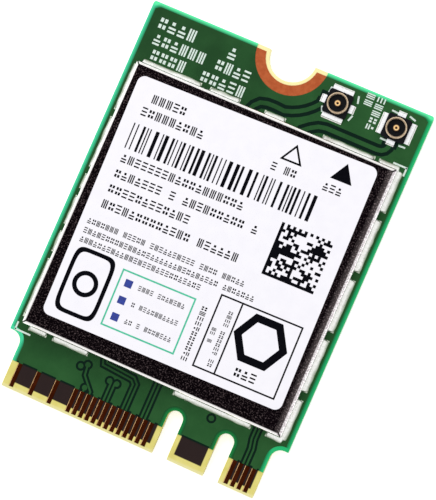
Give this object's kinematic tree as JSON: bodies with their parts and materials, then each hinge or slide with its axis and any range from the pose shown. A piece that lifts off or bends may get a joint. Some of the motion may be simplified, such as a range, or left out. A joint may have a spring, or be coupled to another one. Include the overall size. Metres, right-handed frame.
{
  "type": "ngff wifi card",
  "caption": "Small wireless network card: green board with a keyed contact tongue, a labelled shield can, two antenna sockets and a half-round screw notch.",
  "frame": {"origin": "middle of the underside of the card", "axes": "+X across the card towards the keyed side of the tongue, +Y along the card towards the screw notch, +Z out of the component side"},
  "size_m": [0.022, 0.03, 0.0023],
  "materials": {
    "glass_laminate": "bare glass-fibre laminate, satin",
    "copper": "bare copper with a protective film",
    "green_mask": "green solder mask, semi-gloss",
    "gold_plate": "gold plate",
    "can_sheet": "tin-plated sheet with a fine grain",
    "solder": "reflowed solder, bright",
    "label_film": "white printed label film",
    "black_plastic": "black moulding",
    "pale_ceramic": "matt ceramic with tinned ends",
    "grey_ferrite": "grey ferrite"
  },
  "bodies": {
    "root": {"laminate": "glass_laminate", "ground_copper_top": "copper", "antenna_traces": "copper", "signal_traces": "copper", "solder_mask_top": "green_mask", "edge_contacts_top": "gold_plate", "ground_copper_bottom": "copper", "solder_mask_bottom": "green_mask", "edge_contacts_bottom": "gold_plate", "shield_can": "can_sheet", "shield_solder": "solder", "label": "label_film", "socket_1_shell": "gold_plate", "socket_1_insulator": "black_plastic", "socket_1_centre_contact": "gold_plate", "socket_2_shell": "gold_plate", "socket_2_insulator": "black_plastic", "socket_2_centre_contact": "gold_plate", "socket_solder": "solder", "radio_chip": "black_plastic", "front_end_modules": "black_plastic", "band_filters": "pale_ceramic", "crystal": "can_sheet", "memory_chip": "black_plastic", "power_inductor": "grey_ferrite", "capacitors": "pale_ceramic", "resistors": "black_plastic"}
  },
  "joints": []
}
